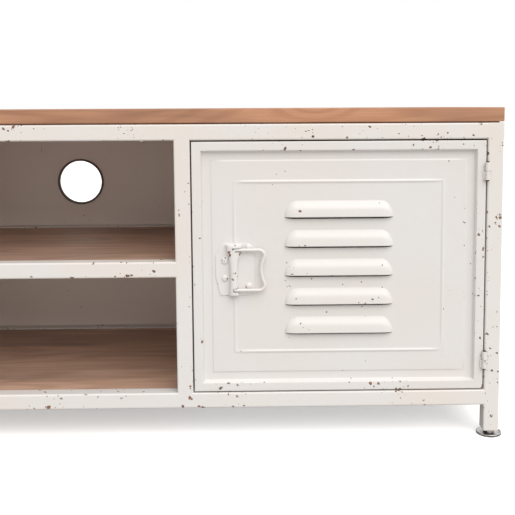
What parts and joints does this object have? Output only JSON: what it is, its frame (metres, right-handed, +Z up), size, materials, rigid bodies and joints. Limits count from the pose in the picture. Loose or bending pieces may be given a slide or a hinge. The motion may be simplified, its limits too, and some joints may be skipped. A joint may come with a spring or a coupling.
{
  "type": "tv stand with doors",
  "caption": "Low media cabinet with a wood top on a painted steel tube frame, an open centre bay with a shelf and a cable hole, and a louvred hinged door with a bail handle on each side.",
  "frame": {"origin": "on the floor, at the middle of the cabinet's width and depth", "axes": "+X to the cabinet's right as seen from the front, +Y towards the back, +Z up; the doors face -Y"},
  "size_m": [1.212, 0.3423, 0.42],
  "materials": {
    "white_paint": "warm white paint, satin, worn through in small brown chips along the edges",
    "wood_boards": "reclaimed softwood, light red-brown, waxed, with darker streaks",
    "zinc_plated_steel": "bright zinc plate, slightly dulled",
    "hole_edging": "dark brown matt edging",
    "black_plastic": "moulded, fine grain"
  },
  "bodies": {
    "frame": {"leg_front_left": "white_paint", "leg_front_right": "white_paint", "leg_back_left": "white_paint", "leg_back_right": "white_paint", "middle_post_front_left": "white_paint", "middle_post_front_right": "white_paint", "middle_post_back_left": "white_paint", "middle_post_back_right": "white_paint", "top_rail_front": "white_paint", "top_rail_back": "white_paint", "bottom_rail_front": "white_paint", "bottom_rail_back": "white_paint", "top_end_rail_left": "white_paint", "top_end_rail_right": "white_paint", "bottom_end_rail_left": "white_paint", "bottom_end_rail_right": "white_paint", "bottom_cross_rail_left": "white_paint", "bottom_cross_rail_right": "white_paint", "shelf_rail_front": "white_paint", "shelf_rail_back": "white_paint", "end_sheet_left": "white_paint", "end_sheet_right": "white_paint", "divider_sheet_left": "white_paint", "divider_sheet_right": "white_paint", "back_sheet_left": "white_paint", "back_sheet_centre": "white_paint", "back_sheet_right": "white_paint", "cable_hole_edging": "hole_edging", "cabinet_floor_left": "white_paint", "cabinet_floor_right": "white_paint", "wood_top": "wood_boards", "shelf_board": "wood_boards", "bay_floor_board": "wood_boards", "board_brackets": "white_paint", "board_screws": "zinc_plated_steel", "top_screws": "zinc_plated_steel", "back_sheet_rivets": "white_paint", "frame_hinge_barrels": "white_paint", "hinge_pins": "zinc_plated_steel", "door_catches": "black_plastic", "leg_inserts": "black_plastic", "foot_lock_nuts": "zinc_plated_steel"},
    "door_left": {"door_panel_left": "white_paint", "door_hinge_barrels_left": "white_paint", "strike_plate_left": "zinc_plated_steel", "handle_plate_left": "white_paint", "handle_rivets_left": "white_paint"},
    "door_right": {"door_panel_right": "white_paint", "door_hinge_barrels_right": "white_paint", "strike_plate_right": "zinc_plated_steel", "handle_plate_right": "white_paint", "handle_rivets_right": "white_paint"},
    "bail_left": {"handle_bail_left": "white_paint"},
    "bail_right": {"handle_bail_right": "white_paint"},
    "levelling_foot_front_left": {"foot_front_left": "zinc_plated_steel"},
    "levelling_foot_front_right": {"foot_front_right": "zinc_plated_steel"},
    "levelling_foot_back_left": {"foot_back_left": "zinc_plated_steel"},
    "levelling_foot_back_right": {"foot_back_right": "zinc_plated_steel"}
  },
  "joints": [
    {"name": "door_right_hinge", "type": "hinge", "parent": "frame", "child": "door_right", "pos_m": [0.5791, -0.1683, 0.221], "axis": [0, 0, 1], "range_deg": [0, 170]},
    {"name": "door_left_hinge", "type": "hinge", "parent": "frame", "child": "door_left", "pos_m": [-0.5791, -0.1683, 0.221], "axis": [0, 0, -1], "range_deg": [0, 170]},
    {"name": "bail_right_swing", "type": "hinge", "parent": "door_right", "child": "bail_right", "pos_m": [0.2625, -0.1658, 0.2185], "axis": [0, 0, -1], "range_deg": [0, 90]},
    {"name": "bail_left_swing", "type": "hinge", "parent": "door_left", "child": "bail_left", "pos_m": [-0.2625, -0.1658, 0.2185], "axis": [0, 0, 1], "range_deg": [0, 90]},
    {"name": "foot_front_left_turn", "type": "hinge", "parent": "frame", "child": "levelling_foot_front_left", "pos_m": [-0.59, -0.155, 0], "axis": [0, 0, 1], "continuous": true},
    {"name": "foot_front_right_turn", "type": "hinge", "parent": "frame", "child": "levelling_foot_front_right", "pos_m": [0.59, -0.155, 0], "axis": [0, 0, 1], "continuous": true},
    {"name": "foot_back_left_turn", "type": "hinge", "parent": "frame", "child": "levelling_foot_back_left", "pos_m": [-0.59, 0.155, 0], "axis": [0, 0, 1], "continuous": true},
    {"name": "foot_back_right_turn", "type": "hinge", "parent": "frame", "child": "levelling_foot_back_right", "pos_m": [0.59, 0.155, 0], "axis": [0, 0, 1], "continuous": true}
  ]
}
